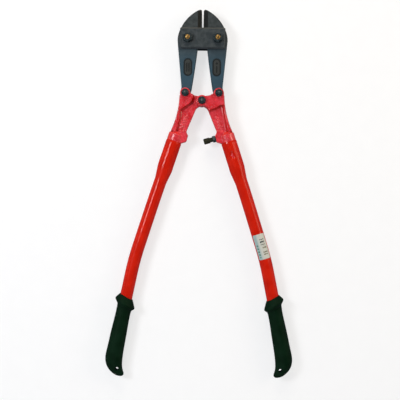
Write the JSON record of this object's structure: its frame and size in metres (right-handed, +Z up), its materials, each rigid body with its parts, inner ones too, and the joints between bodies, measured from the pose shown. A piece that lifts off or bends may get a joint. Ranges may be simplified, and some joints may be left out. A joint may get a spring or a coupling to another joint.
{
  "type": "bolt cutter",
  "caption": "Long-handled bolt cutter: forged blades between bolted joint plates, red cast arms and tube handles, black grips, closing stop.",
  "frame": {"origin": "on the centre pivot's axis, in the plane that the tool lies on when flat on its back", "axes": "+Y from the handles to the jaws, +X to the right arm, +Z up from the resting plane, along every pivot"},
  "size_m": [0.3082, 0.6052, 0.0413],
  "materials": {
    "jaw_steel": "forged, blued, satin",
    "strap_steel": "blued, satin",
    "red_casting": "rough cast, gloss enamel",
    "red_tube": "smooth gloss enamel",
    "grip_rubber": "moulded, satin",
    "bolt_steel": "yellow zinc plated",
    "nut_steel": "black oxide",
    "bumper_rubber": "matt",
    "label_paper": "coated, plain print marks"
  },
  "bodies": {
    "head": {"front_strap": "strap_steel", "rear_strap": "strap_steel", "left_jaw_bolt": "bolt_steel", "left_jaw_nut": "nut_steel", "left_jaw_front_washer": "nut_steel", "left_jaw_rear_washer": "nut_steel", "right_jaw_bolt": "bolt_steel", "right_jaw_nut": "nut_steel", "right_jaw_front_washer": "nut_steel", "right_jaw_rear_washer": "nut_steel"},
    "left_jaw": {"left_jaw": "jaw_steel"},
    "right_jaw": {"right_jaw": "jaw_steel"},
    "left_arm": {"left_casting": "red_casting", "left_tube": "red_tube", "left_grip": "grip_rubber", "left_arm_bolt": "bolt_steel", "left_arm_nut": "nut_steel", "left_arm_washer": "nut_steel"},
    "right_arm": {"right_casting": "red_casting", "right_tube": "red_tube", "right_grip": "grip_rubber", "right_arm_bolt": "bolt_steel", "right_arm_nut": "nut_steel", "right_arm_washer": "nut_steel", "centre_bolt": "bolt_steel", "centre_nut": "nut_steel", "centre_washer": "nut_steel", "centre_rear_washer": "nut_steel", "stop_screw": "nut_steel", "stop_lock_nut": "nut_steel", "stop_bumper": "bumper_rubber", "price_label": "label_paper"}
  },
  "joints": [
    {"name": "left_handle_hinge", "type": "hinge", "parent": "left_jaw", "child": "left_arm", "pos_m": [-0.0276, 0.0124, 0.0185], "axis": [0, 0, 1], "range_deg": [-22.7, 14.1]},
    {"name": "left_jaw_hinge", "type": "hinge", "parent": "head", "child": "left_jaw", "pos_m": [-0.0248, 0.1023, 0.0185], "axis": [0, 0, 1], "range_deg": [-1.72, 2.76]},
    {"name": "right_jaw_hinge", "type": "hinge", "parent": "head", "child": "right_jaw", "pos_m": [0.0248, 0.1023, 0.0185], "axis": [0, 0, 1], "range_deg": [-2.76, 1.72]},
    {"name": "right_handle_hinge", "type": "hinge", "parent": "right_jaw", "child": "right_arm", "pos_m": [0.0276, 0.0124, 0.0185], "axis": [0, 0, 1], "range_deg": [-14.1, 22.7]}
  ],
  "couplings": [
    {"joint": "left_jaw_hinge", "follows": "left_handle_hinge", "ratio": -0.12116},
    {"joint": "right_jaw_hinge", "follows": "left_handle_hinge", "ratio": 0.12116},
    {"joint": "right_handle_hinge", "follows": "left_handle_hinge", "ratio": -1}
  ]
}
